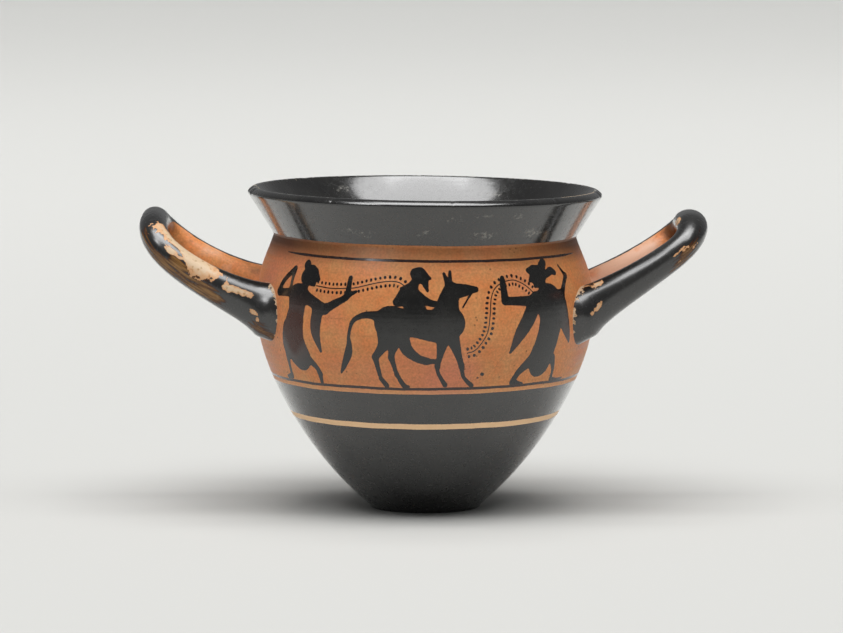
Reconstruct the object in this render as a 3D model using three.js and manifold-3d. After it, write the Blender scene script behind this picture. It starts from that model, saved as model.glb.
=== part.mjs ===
// Two-handled mastoid drinking cup of fired clay: a wheel-thrown bowl with an offset, flaring rim
// and a small flat foot, and two upturned loop handles luted to its sides.
// Millimetres, +Z up, origin at the centre of the flat resting face. The handles lie along X.
import * as THREE from "three";
import { mergeVertices } from "three/addons/utils/BufferGeometryUtils.js";
import Module from "manifold-3d";

// Outside of the bowl
const cupHeight = 100.2;
const footRadius = 17.0; // flat resting face
const footEdge = { radius: 17.75, height: 1.0 }; // where the foot's rounded edge ends
const bellyRadius = 52.8;
const bellyHeight = 60.6;
const neckRadius = 47.4; // sharp angle between shoulder and rim
const neckHeight = 86.0;
const rimRadius = 55.5;
const footLeaveAngle = 40.2; // degrees above the table at which the wall leaves the foot
const footPull = 30.0; // reach of the curve's pull at the foot, then at the belly and the neck
const bellyPullDown = 12.4;
const bellyPullUp = 15.4;
const neckPull = 10.0;
const neckAngle = 18.7; // degrees from upright at which the shoulder meets the neck

// Wall
const wallThickness = 3.7; // at the belly
const neckWall = 3.6;
const lipRadius = 1.45; // rounding of the lip, half the rim's thickness
const lipLean = 33.0; // degrees from upright at which the rim flares
const floorThickness = 6.0; // clay under the middle of the bowl
const floorPull = 19.0; // reach of the inside curve's pull at the floor
const innerBellyPullDown = 20.0;
const innerNeckPull = 7.0; // the inside passes the neck in a soft bend
const innerNeckDrop = 0.5; // and turns there a little lower than the outside
const floorSlope = 8.0; // degrees at which the inside rises from its middle

// The wheel-thrown bowl warped a little in the kiln: its rim sinks towards +X
const warpAngle = 0.7; // degrees at the rim
const warpStart = 30.0; // height below which the bowl is true

// Handles: a rod bent into a loop, thicker where it meets the bowl
const armOffset = 18.9; // from the handle's middle plane to an arm's centreline
const rodHalfWidth = 4.75; // in the loop's plane
const rootWidening = 1.2; // added to it at the bowl's wall
const rootReach = 49.5; // distance from the axis at which an arm meets the wall
const taperStart = 60.0; // distance from the axis at which the rod starts to thin
const bendSquareness = 2.9; // of the loop's end: 2 is a half ellipse, more is squarer
// Each handle in side view: outward distance and height of the root and the end of its centreline,
// and the slopes in degrees and the pulls there. The rod's half thickness across the loop's plane
// is given before its taper, at the loop's end, and as the root's thickening and its fade.
const handleShapes = [
  {
    side: -1,
    root: { out: 40.0, height: 62.2, slope: 18.0, pull: 28.2 },
    tip: { out: 85.0, height: 89.5, slope: 75.0, pull: 7.2 },
    rod: { arm: 5.2, end: 4.35, rootThickening: 3.3, rootFade: 7.6 },
    rearLift: 0.85, // the rear arm is set higher than the front one by twice this
    bendLength: 16.6, // last stretch of the loop, where the arms turn into its end
  },
  {
    side: 1,
    root: { out: 40.0, height: 59.3, slope: 28.2, pull: 17.1 },
    tip: { out: 83.2, height: 89.0, slope: 95.0, pull: 5.2 },
    rod: { arm: 5.2, end: 4.8, rootThickening: 3.1, rootFade: 11.5 },
    rearLift: -0.8,
    bendLength: 12.6,
  },
];

// Facets
const turnSteps = 64; // around the bowl
const bodySteps = 13; // up the wall from foot to belly
const shoulderSteps = 7;
const lipSteps = 7;
const innerRimSteps = 6; // down the inside from lip to neck, and from neck to belly
const rodSides = 16;
const armSteps = 8;
const bendSteps = 16;

const wasm = await Module();
wasm.setup();

const radians = THREE.MathUtils.degToRad;

// A point of the given distance and angle above the horizontal from another point.
function reach(from, length, angle) {
  return new THREE.Vector2(
    from.x + length * Math.cos(radians(angle)),
    from.y + length * Math.sin(radians(angle)),
  );
}

// Points of a cubic curve between two ends and their pulls, without its first point.
function curvePoints(start, startPull, endPull, end, steps) {
  const curve = new THREE.CubicBezierCurve(start, startPull, endPull, end);
  return curve.getPoints(steps).slice(1);
}

// Outside of the bowl from the resting face up to the underside of the lip.
function outsideProfile() {
  const axis = new THREE.Vector2(0, 0);
  const rest = new THREE.Vector2(footRadius, 0);
  const foot = new THREE.Vector2(footEdge.radius, footEdge.height);
  const belly = new THREE.Vector2(bellyRadius, bellyHeight);
  const neck = new THREE.Vector2(neckRadius, neckHeight);
  const lower = curvePoints(
    foot,
    reach(foot, footPull, footLeaveAngle),
    new THREE.Vector2(bellyRadius, bellyHeight - bellyPullDown),
    belly,
    bodySteps,
  );
  const shoulder = curvePoints(
    belly,
    new THREE.Vector2(bellyRadius, bellyHeight + bellyPullUp),
    reach(neck, neckPull, neckAngle - 90),
    neck,
    shoulderSteps,
  );
  return [axis, rest, foot, ...lower, ...shoulder];
}

// Centre of the lip's rounding.
function lipCentre() {
  return new THREE.Vector2(rimRadius - lipRadius, cupHeight - lipRadius);
}

// The lip's rounding from the outside of the rim over the crest to its inside.
function lipProfile() {
  const points = [];
  for (let i = 0; i <= lipSteps; i++) {
    const angle = -lipLean + (180 * i) / lipSteps;
    points.push(reach(lipCentre(), lipRadius, angle));
  }
  return points;
}

// Inside of the bowl from the lip down to the middle of the floor.
function insideProfile(fromLip) {
  const neck = new THREE.Vector2(neckRadius - neckWall, neckHeight - innerNeckDrop);
  const belly = new THREE.Vector2(bellyRadius - wallThickness, bellyHeight);
  const floor = new THREE.Vector2(0, floorThickness);
  const rim = curvePoints(
    fromLip,
    reach(fromLip, innerNeckPull, -90 - lipLean),
    reach(neck, innerNeckPull * 0.5, 90),
    neck,
    innerRimSteps,
  );
  const shoulder = curvePoints(
    neck,
    reach(neck, innerNeckPull, -90 + neckAngle * 0.6),
    new THREE.Vector2(belly.x, bellyHeight + bellyPullUp * 0.7),
    belly,
    innerRimSteps,
  );
  const lower = curvePoints(
    belly,
    new THREE.Vector2(belly.x, bellyHeight - innerBellyPullDown),
    reach(floor, floorPull, floorSlope),
    floor,
    bodySteps,
  );
  return [...rim, ...shoulder, ...lower];
}

// A profile turned about the bowl's axis, as a closed geometry with +Z up.
function turned(profile) {
  return new THREE.LatheGeometry(profile, turnSteps).rotateX(Math.PI / 2);
}

// Lowers the rim on one side, smoothly from warpStart up.
function warped(geometry) {
  const place = geometry.attributes.position;
  const fall = Math.tan(radians(warpAngle));
  for (let i = 0; i < place.count; i++) {
    const share = THREE.MathUtils.smoothstep(place.getZ(i), warpStart, neckHeight);
    place.setZ(i, place.getZ(i) - fall * share * place.getX(i));
  }
  return geometry;
}

// A closed geometry as a solid: shared vertices merged, triangles with no area dropped.
function solidOf(geometry) {
  const bare = new THREE.BufferGeometry().setAttribute("position", geometry.attributes.position);
  if (geometry.index) bare.setIndex(geometry.index);
  const merged = mergeVertices(bare, 1e-4);
  const corners = merged.index.array;
  const kept = [];
  for (let i = 0; i < corners.length; i += 3) {
    const [a, b, c] = corners.slice(i, i + 3);
    if (a !== b && b !== c && c !== a) kept.push(a, b, c);
  }
  return new wasm.Manifold(
    new wasm.Mesh({
      numProp: 3,
      vertProperties: merged.attributes.position.array,
      triVerts: new Uint32Array(kept),
    }),
  );
}

// The solid's triangles as a geometry.
function geometryOf(solid) {
  const mesh = solid.getMesh();
  return new THREE.BufferGeometry()
    .setAttribute("position", new THREE.BufferAttribute(mesh.vertProperties, 3))
    .setIndex(new THREE.BufferAttribute(mesh.triVerts, 1));
}

// Stations along a loop: share of the side view's length, and offset from the middle plane.
function loopStations(length, bendLength) {
  const stations = [];
  const straight = 1 - bendLength / length;
  for (let i = 0; i < armSteps; i++) {
    stations.push({ along: (straight * i) / armSteps, across: -armOffset });
  }
  for (let i = 0; i <= bendSteps; i++) {
    const angle = (Math.PI * i) / bendSteps;
    const power = 2 / bendSquareness;
    const out = Math.pow(Math.sin(angle), power);
    const across = -Math.sign(Math.cos(angle)) * Math.pow(Math.abs(Math.cos(angle)), power);
    stations.push({
      along: straight + (1 - straight) * out,
      across: armOffset * across,
    });
  }
  for (let i = armSteps - 1; i >= 0; i--) {
    stations.push({ along: (straight * i) / armSteps, across: armOffset });
  }
  return stations;
}

// Half thickness and half width of a handle's rod at a distance from the axis.
function rodSize({ rod, tip }, out) {
  const spread = Math.exp(-Math.max(0, out - rootReach) / rod.rootFade);
  const taper = Math.max(0, (out - taperStart) / (tip.out - taperStart));
  return {
    thickness: rod.arm + (rod.end - rod.arm) * taper + rod.rootThickening * spread,
    width: rodHalfWidth + rootWidening * spread,
  };
}

// Rings of points joined side by side and closed at both ends.
function lofted(rings) {
  const sides = rings[0].length;
  const points = rings.flat();
  const corners = [];
  for (let r = 0; r + 1 < rings.length; r++) {
    for (let k = 0; k < sides; k++) {
      const next = (k + 1) % sides;
      const a = r * sides + k;
      const b = r * sides + next;
      corners.push(a, b, a + sides, b, b + sides, a + sides);
    }
  }
  const last = (rings.length - 1) * sides;
  for (let k = 1; k + 1 < sides; k++) {
    corners.push(0, k + 1, k);
    corners.push(last, last + k, last + k + 1);
  }
  return new THREE.BufferGeometry().setFromPoints(points).setIndex(corners);
}

// One loop handle, its two roots reaching into the bowl.
function handleGeometry(shape) {
  const { side, root, tip, rearLift } = shape;
  const start = new THREE.Vector2(root.out, root.height);
  const end = new THREE.Vector2(tip.out, tip.height);
  const sideView = new THREE.CubicBezierCurve(
    start,
    reach(start, root.pull, root.slope),
    reach(end, -tip.pull, tip.slope),
    end,
  );
  const stations = loopStations(sideView.getLength(), shape.bendLength);
  const place = ({ along, across }) => {
    const at = sideView.getPointAt(along);
    return new THREE.Vector3(side * at.x, across, at.y + (rearLift * across) / armOffset);
  };
  const centres = stations.map(place);
  const rings = stations.map(({ along }, i) => {
    const before = centres[Math.max(0, i - 1)];
    const after = centres[Math.min(centres.length - 1, i + 1)];
    const forward = after.clone().sub(before).normalize();
    const slope = sideView.getTangentAt(along);
    const upward = new THREE.Vector3(-side * slope.y, 0, slope.x);
    const sideways = new THREE.Vector3().crossVectors(upward, forward).normalize();
    const size = rodSize(shape, sideView.getPointAt(along).x);
    const ring = [];
    for (let k = 0; k < rodSides; k++) {
      const angle = (2 * Math.PI * k) / rodSides;
      ring.push(
        centres[i]
          .clone()
          .addScaledVector(sideways, size.width * Math.cos(angle))
          .addScaledVector(upward, size.thickness * Math.sin(angle)),
      );
    }
    return ring;
  });
  return lofted(rings);
}

// The bowl's wall, and a core half a wall smaller than its outside that ends the handles' roots.
function bowlSolids() {
  const outside = outsideProfile();
  const lip = lipProfile();
  const wall = [...outside, ...lip, ...insideProfile(lip.at(-1))];
  const halfWall = wallThickness / 2;
  const core = outside.map((p) => new THREE.Vector2(Math.max(0, p.x - halfWall), p.y + halfWall));
  core.push(new THREE.Vector2(0, core.at(-1).y));
  return { wall: solidOf(warped(turned(wall))), core: solidOf(warped(turned(core))) };
}

function cupSolid() {
  const { wall, core } = bowlSolids();
  let cup = wall;
  for (const shape of handleShapes) {
    cup = cup.add(solidOf(handleGeometry(shape)).subtract(core));
  }
  return cup;
}

const firedClay = new THREE.MeshStandardMaterial({
  color: "#b5714a",
  roughness: 0.45,
  metalness: 0,
});

const cup = new THREE.Mesh(geometryOf(cupSolid()), firedClay);
cup.name = "cup";

const mastoidCup = new THREE.Group();
mastoidCup.add(cup);

export default mastoidCup;
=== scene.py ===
import math
from functools import partial

import bpy
import numpy as np
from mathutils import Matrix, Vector
from mathutils.geometry import interpolate_bezier


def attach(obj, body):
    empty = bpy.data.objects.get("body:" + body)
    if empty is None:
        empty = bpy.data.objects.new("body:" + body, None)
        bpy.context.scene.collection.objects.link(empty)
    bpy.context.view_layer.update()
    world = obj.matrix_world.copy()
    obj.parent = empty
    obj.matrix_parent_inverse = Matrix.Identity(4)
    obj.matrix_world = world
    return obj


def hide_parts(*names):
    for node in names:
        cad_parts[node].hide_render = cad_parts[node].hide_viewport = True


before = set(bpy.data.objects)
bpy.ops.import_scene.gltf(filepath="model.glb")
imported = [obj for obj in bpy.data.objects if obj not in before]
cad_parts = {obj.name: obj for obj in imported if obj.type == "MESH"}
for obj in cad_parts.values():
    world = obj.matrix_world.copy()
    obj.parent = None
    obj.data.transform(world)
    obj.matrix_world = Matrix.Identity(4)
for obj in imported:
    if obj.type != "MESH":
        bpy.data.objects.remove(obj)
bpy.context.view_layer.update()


def only(obj):  # select one object alone and make it active
    bpy.ops.object.select_all(action="DESELECT")
    obj.select_set(True)
    bpy.context.view_layer.objects.active = obj


def toLinear(hexColour):  # sRGB hex to linear colour with alpha
    parts = [int(hexColour[i:i + 2], 16) / 255 for i in (1, 3, 5)]
    linear = [c / 12.92 if c <= 0.04045 else ((c + 0.055) / 1.055) ** 2.4 for c in parts]
    return linear + [1.0]


def smoothStep(value, low, high):
    t = np.clip((value - low) / (high - low), 0, 1)
    return t * t * (3 - 2 * t)


def reach(point, length, angle):  # a point at a distance and an angle above the horizontal
    return (point[0] + length * math.cos(math.radians(angle)),
            point[1] + length * math.sin(math.radians(angle)))


def curvePoints(start, startPull, endPull, end, count=240):  # a fine polyline along one Bezier arc
    arc = [Vector((p[0], p[1], 0)) for p in (start, startPull, endPull, end)]
    return np.array([(p.x, p.y) for p in interpolate_bezier(*arc, count)])


def distanceAlong(points):  # how far along a polyline each of its points lies
    return np.concatenate([[0], np.cumsum(np.linalg.norm(np.diff(points, axis=0), axis=1))])


def unit(vectors):
    return vectors / np.linalg.norm(vectors, axis=1)[:, None]


def evenPoints(points, count):  # a number of even steps along a fine polyline
    travelled = distanceAlong(points)
    at = np.linspace(0, travelled[-1], count)
    return np.column_stack([np.interp(at, travelled, column) for column in points.T])


def spacedPoints(points, spacing):  # steps of about one spacing along a fine polyline
    return evenPoints(points, max(2, round(distanceAlong(points)[-1] / spacing) + 1))


# Wheel-thrown bowl, sizes in millimetres
bowl = {
    "footRadius": 17.0, "footEdge": (17.75, 1.0), "footEdgePulls": (0.45, 0.4),
    "belly": (52.8, 60.6), "neck": (47.4, 86.0), "rimRadius": 55.6, "height": 100.85,
    "footLeaveAngle": 40.2, "footPull": 30.0, "bellyPullDown": 12.4, "bellyPullUp": 15.4,
    "neckPull": 10.0, "neckAngle": 18.7,
    "wall": 3.7, "neckWall": 3.6, "lipRadius": 1.6, "lipLean": 38.0, "lipReach": 1.2, "lipSquareness": 2.6,
    "lipSteps": 14, "flareLow": 31.5, "flareHigh": 34.0, "flarePull": 4.5,
    "floor": 6.0, "floorPull": 19.0, "floorRise": 8.0, "innerBellyPullDown": 20.0, "innerBellyPullShare": 0.7,
    "innerNeckPull": 7.0, "innerNeckDrop": 0.5, "innerNeckLeanShare": 0.6, "innerNeckTurn": 1.6,
    "innerRimLean": 41.0, "innerRimPull": 13.0,
    "warpAngle": 0.7, "warpStart": 30.0, "rimTilt": 0.42,  # the rim sank towards +X and the back in the kiln
    "friezeLow": 41.5,  # rows are close together from here up to the neck
    "fineRow": 0.46, "coarseRow": 3.4, "rimRow": 1.3, "innerRow": 5.0, "edgeRow": 0.35, "underRow": 5.6,
    "frontAngle": 140.0, "frontSteps": 285, "backSteps": 185,
}


def outsideProfile():
    b = bowl
    foot, belly, neck = b["footEdge"], b["belly"], b["neck"]
    under = np.array([(0, 0), (b["footRadius"], 0)])
    edge = curvePoints((b["footRadius"], 0), (b["footRadius"] + b["footEdgePulls"][0], 0),
                       reach(foot, -b["footEdgePulls"][1], b["footLeaveAngle"]), foot)
    lower = curvePoints(foot, reach(foot, b["footPull"], b["footLeaveAngle"]),
                        (belly[0], belly[1] - b["bellyPullDown"]), belly)
    shoulder = curvePoints(belly, (belly[0], belly[1] + b["bellyPullUp"]),
                           reach(neck, b["neckPull"], b["neckAngle"] - 90), neck)
    split = np.argmax(lower[:, 1] > b["friezeLow"])
    return [spacedPoints(under, b["underRow"]), spacedPoints(edge, b["edgeRow"]),
            spacedPoints(lower[:split + 1], b["coarseRow"]),
            spacedPoints(np.vstack([lower[split:], shoulder[1:]]), b["fineRow"])]


def lipProfile():  # a squared-off end to the wall, with softened corners
    b = bowl
    centre = (b["rimRadius"] - b["lipRadius"], b["height"] - b["lipRadius"])
    power = 2 / b["lipSquareness"]
    points = []
    for step in range(b["lipSteps"] + 1):
        turn = math.pi * step / b["lipSteps"]
        c, s = math.cos(turn), math.sin(turn)
        across = reach(centre, math.copysign(abs(c) ** power, c) * b["lipRadius"], -b["lipLean"])
        points.append(reach(across, abs(s) ** power * b["lipReach"], 90 - b["lipLean"]))
    return np.array(points)


def insideProfile(start):
    b = bowl
    neck = (b["neck"][0] - b["neckWall"], b["neck"][1] - b["innerNeckDrop"])
    belly = (b["belly"][0] - b["wall"], b["belly"][1])
    floor = (0, b["floor"])
    rim = curvePoints(start, reach(start, b["innerRimPull"], -90 - b["innerRimLean"]),
                      reach(neck, b["innerNeckTurn"], 90), neck)
    lean = b["neckAngle"] * b["innerNeckLeanShare"]
    shoulder = curvePoints(neck, reach(neck, b["innerNeckPull"], -90 + lean),
                           (belly[0], belly[1] + b["bellyPullUp"] * b["innerBellyPullShare"]), belly)
    lower = curvePoints(belly, (belly[0], belly[1] - b["innerBellyPullDown"]),
                        reach(floor, b["floorPull"], b["floorRise"]), floor)
    return [spacedPoints(rim, b["rimRow"]), spacedPoints(np.vstack([shoulder, lower[1:]]), b["innerRow"])]


def joined(parts):  # profile parts end to end, shared points once
    points = parts[0]
    for part in parts[1:]:
        points = np.vstack([points, part[1:] if np.allclose(points[-1], part[0]) else part])
    return points


def profileCurve(name, points, turn):  # a poly curve standing in the half plane at an angle
    bpy.ops.object.select_all(action="DESELECT")
    bpy.ops.curve.primitive_bezier_curve_add()
    obj = bpy.context.object
    obj.name = name
    obj.data.splines.clear()
    spline = obj.data.splines.new("POLY")
    spline.points.add(len(points) - 1)
    for slot, (radius, height) in zip(spline.points, points):
        slot.co = (radius * math.sin(turn) / 1000, -radius * math.cos(turn) / 1000, height / 1000, 1)
    bpy.ops.object.convert(target="MESH")
    return bpy.context.object


def facedOut(obj, weld=0.0):  # weld vertices within so many metres and turn the faces outwards
    only(obj)
    bpy.ops.object.mode_set(mode="EDIT")
    bpy.ops.mesh.select_all(action="SELECT")
    if weld:
        bpy.ops.mesh.remove_doubles(threshold=weld)
    bpy.ops.mesh.normals_make_consistent(inside=False)
    bpy.ops.object.mode_set(mode="OBJECT")
    return obj


def turned(name, points, sweeps):  # turn a profile about the axis in sweeps of (start, angle, steps)
    parts = []
    for start, angle, steps in sweeps:
        part = profileCurve(name, points, math.radians(start))
        screw = part.modifiers.new("turn", "SCREW")
        screw.axis = "Z"
        screw.angle = math.radians(angle)
        screw.steps = screw.render_steps = steps + 1
        bpy.ops.object.modifier_apply(modifier=screw.name)
        parts.append(part)
    only(parts[0])
    for part in parts[1:]:
        part.select_set(True)
    if len(parts) > 1:
        bpy.ops.object.join()
    return facedOut(parts[0], weld=2e-6)


def vertexPlaces(obj):  # vertex coordinates in millimetres
    flat = np.empty(len(obj.data.vertices) * 3)
    obj.data.vertices.foreach_get("co", flat)
    return flat.reshape(-1, 3) * 1000


def placeVertices(obj, places):
    obj.data.vertices.foreach_set("co", (places / 1000).ravel())
    obj.data.update()


def rimDrop(places, heights):  # how far the warp lowers a point, by its height before the warp
    share = smoothStep(heights, bowl["warpStart"], bowl["neck"][1])
    flareShare = smoothStep(heights, bowl["neck"][1], bowl["height"])
    return (math.tan(math.radians(bowl["warpAngle"])) * share * places[:, 0]
            + math.tan(math.radians(bowl["rimTilt"])) * flareShare * places[:, 1])


def warped(obj):  # let one side of the rim sink
    places = vertexPlaces(obj)
    places[:, 2] -= rimDrop(places, places[:, 2])
    placeVertices(obj, places)
    return obj


outsideParts = outsideProfile()
lip = lipProfile()
flare = curvePoints(bowl["neck"], reach(bowl["neck"], bowl["flarePull"], 90 - bowl["flareLow"]),
                    reach(lip[0], -bowl["flarePull"], 90 - bowl["flareHigh"]), lip[0])
rimFace = spacedPoints(flare, bowl["rimRow"])
outside = joined(outsideParts + [rimFace])
inside = joined(insideProfile(lip[-1]))
frontSweep = (-bowl["frontAngle"] / 2, bowl["frontAngle"], bowl["frontSteps"])
backSweep = (bowl["frontAngle"] / 2, 360 - bowl["frontAngle"], bowl["backSteps"])
cup = turned("cupBody", joined([outside, lip, inside]), [frontSweep, backSweep])
print("bowl thrown:", len(cup.data.vertices), "vertices")

# Small losses along the lip: degrees from the front, reach and depth in millimetres
lipChips = [(-86, 2.6, 0.5), (-78, 1.3, 0.35), (-31, 0.8, 0.09), (9, 0.6, 0.07), (47, 0.9, 0.1),
            (81, 1.5, 0.35), (88, 2.0, 0.4), (121, 1.2, 0.15), (-134, 1.4, 0.15)]
chipShape = {"below": 1.2, "inside": 0.5, "drop": 0.9, "middle": 0.6, "halfHeight": 1.6, "heightShare": 0.5,
             "roundness": 0.7}


def chipLip(obj):
    places = vertexPlaces(obj)
    radius = np.hypot(places[:, 0], places[:, 1])
    turn = np.arctan2(places[:, 0], -places[:, 1])
    onLip = (places[:, 2] > lip[0][1] - chipShape["below"]) & (radius > lip[-1][0] - chipShape["inside"])
    inward = np.column_stack([-places[:, 0] / radius.clip(1), -places[:, 1] / radius.clip(1),
                              np.full(len(places), -chipShape["drop"])])
    rise = (places[:, 2] - bowl["height"] + chipShape["middle"]) / chipShape["halfHeight"]
    moved = places.copy()
    for angle, spread, depth in lipChips:
        away = (turn - math.radians(angle) + math.pi) % (2 * math.pi) - math.pi
        side = away * bowl["rimRadius"] / spread
        hollow = np.clip(1 - side ** 2 - chipShape["heightShare"] * rise ** 2, 0, 1)
        bite = depth * hollow ** chipShape["roundness"] * onLip
        moved += inward * bite[:, None]
    placeVertices(obj, moved)


chipLip(cup)
warped(cup)

# Loop handles: one dictionary for each, sizes in millimetres
handleCommon = {"armOffset": 18.9, "halfWidth": 4.75, "rootWidening": 1.2, "rootReach": 49.5,
                "taperStart": 60.0, "squareness": 2.9, "sides": 44, "rings": 130, "bendSteps": 400,
                "filletFade": 2.4, "filletWidth": 1.6}
handleShapes = {
    "left": {"side": -1, "root": (40.0, 62.2), "rootSlope": 18.0, "rootPull": 28.2,
             "tip": (85.0, 89.5), "tipSlope": 75.0, "tipPull": 7.2,
             "arm": 5.2, "end": 4.35, "rootThickening": 3.3, "rootFade": 7.6,
             "rearLift": 0.85, "bendLength": 16.6, "fillet": 0.4, "filletDrop": 0.2,
             "frontDrop": 0.0, "frontThinning": 0.0, "tipThinning": 0.0},
    "right": {"side": 1, "root": (40.0, 59.3), "rootSlope": 28.2, "rootPull": 17.1,
              "tip": (83.2, 89.0), "tipSlope": 95.0, "tipPull": 5.2,
              "arm": 5.2, "end": 4.8, "rootThickening": 3.1, "rootFade": 11.5,
              "rearLift": -0.8, "bendLength": 12.6, "fillet": 0.6, "filletDrop": 0.4,
              "frontDrop": 1.3, "frontThinning": 0.7, "tipThinning": 1.2},
}


def handleCentreline(shape, count):
    c = handleCommon
    sideView = curvePoints(shape["root"], reach(shape["root"], shape["rootPull"], shape["rootSlope"]),
                           reach(shape["tip"], -shape["tipPull"], shape["tipSlope"]), shape["tip"])
    travelled = distanceAlong(sideView)
    straight = travelled[-1] - shape["bendLength"]
    fine = np.linspace(0, math.pi, c["bendSteps"])
    power = 2 / c["squareness"]
    bendAlong = straight + shape["bendLength"] * np.sin(fine).clip(0) ** power
    bendAcross = -np.sign(np.cos(fine)) * np.abs(np.cos(fine)) ** power * c["armOffset"]
    along = np.concatenate([[0], bendAlong, [0]])
    across = np.concatenate([[-c["armOffset"]], bendAcross, [c["armOffset"]]])
    along, across = evenPoints(np.column_stack([along, across]), count).T
    out = np.interp(along, travelled, sideView[:, 0])
    height = np.interp(along, travelled, sideView[:, 1])
    slope = unit(np.gradient(sideView, axis=0))
    slopeOut = np.interp(along, travelled, slope[:, 0])
    slopeUp = np.interp(along, travelled, slope[:, 1])
    thinned = shape["tipThinning"] / 2 * smoothStep(along, straight, travelled[-1])
    out, height = out + thinned * slopeOut, height + thinned * slopeUp
    pastRoot = np.clip(out - c["rootReach"], 0, None)
    fillet = np.exp(-pastRoot / c["filletFade"])  # clay smeared on at the joint
    frontShare = smoothStep(-across, c["armOffset"] / 2, c["armOffset"])
    centres = np.column_stack([shape["side"] * out, across,
                               height + shape["rearLift"] * across / c["armOffset"]
                               - shape["frontDrop"] * frontShare - shape["filletDrop"] * fillet])
    forward = unit(np.gradient(centres, axis=0))
    upward = np.column_stack([-shape["side"] * slopeUp, np.zeros(len(out)), slopeOut])
    sideways = unit(np.cross(upward, forward))
    spread = np.exp(-pastRoot / shape["rootFade"])
    taper = np.clip((out - c["taperStart"]) / (shape["tip"][0] - c["taperStart"]), 0, None)
    thickness = (shape["arm"] + (shape["end"] - shape["arm"]) * taper + shape["rootThickening"] * spread
                 + shape["fillet"] * fillet - shape["frontThinning"] * frontShare)
    width = c["halfWidth"] + c["rootWidening"] * spread + c["filletWidth"] * fillet - thinned
    return {"centres": centres, "forward": forward, "sideways": sideways, "upward": upward,
            "thickness": thickness, "width": width, "distance": distanceAlong(centres)}


def rolledHandle(name, shape):  # a cylinder with many rings, laid along the loop
    c = handleCommon
    bpy.ops.object.select_all(action="DESELECT")
    bpy.ops.mesh.primitive_cylinder_add(vertices=c["sides"], radius=1, depth=2, end_fill_type="TRIFAN")
    rod = bpy.context.object
    rod.name = name
    bpy.ops.object.mode_set(mode="EDIT")
    bpy.ops.mesh.select_mode(type="EDGE")
    bpy.ops.mesh.select_all(action="DESELECT")
    bpy.ops.object.mode_set(mode="OBJECT")
    for edge in rod.data.edges:
        low, high = (rod.data.vertices[i].co.z for i in edge.vertices)
        edge.select = abs(high - low) > 1
    bpy.ops.object.mode_set(mode="EDIT")
    bpy.ops.mesh.subdivide(number_cuts=c["rings"] - 2)
    bpy.ops.object.mode_set(mode="OBJECT")
    line = handleCentreline(shape, c["rings"])
    places = vertexPlaces(rod) / 1000
    ring = np.rint((places[:, 2] + 1) / 2 * (c["rings"] - 1)).astype(int)
    rounded = (places[:, :1] * line["width"][ring, None] * line["sideways"][ring]
               + places[:, 1:2] * line["thickness"][ring, None] * line["upward"][ring])
    placeVertices(rod, line["centres"][ring] + rounded)
    return facedOut(rod)


def combine(target, tool, operation):
    only(target)
    modifier = target.modifiers.new("combine", "BOOLEAN")
    modifier.operation = operation
    modifier.solver = "MANIFOLD"
    modifier.object = tool
    bpy.ops.object.modifier_apply(modifier=modifier.name)


# A core half a wall smaller than the outside ends the handles' roots inside the wall
coreShape = {"rowStep": 6, "leastRadius": 0.5, "steps": 120}
halfWall = bowl["wall"] / 2
coreOuter = outside[outside[:, 1] <= bowl["neck"][1]][::coreShape["rowStep"]]
coreLine = np.column_stack([(coreOuter[:, 0] - halfWall).clip(coreShape["leastRadius"]),
                            coreOuter[:, 1] + halfWall])
coreLine = np.vstack([[0, halfWall], coreLine, [0, coreLine[-1, 1]]])
core = warped(turned("core", coreLine, [(0, 360, coreShape["steps"])]))
handles = {}
for handleName, handleShape in handleShapes.items():
    handles[handleName] = rolledHandle(handleName + "Handle", handleShape)
    combine(handles[handleName], core, "DIFFERENCE")
print("handles rolled")

for handleName in handles:
    combine(cup, handles[handleName], "UNION")
for tool in [core] + list(handles.values()):
    bpy.data.objects.remove(tool, do_unlink=True)
print("handles luted on:", len(cup.data.polygons), "faces")

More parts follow.
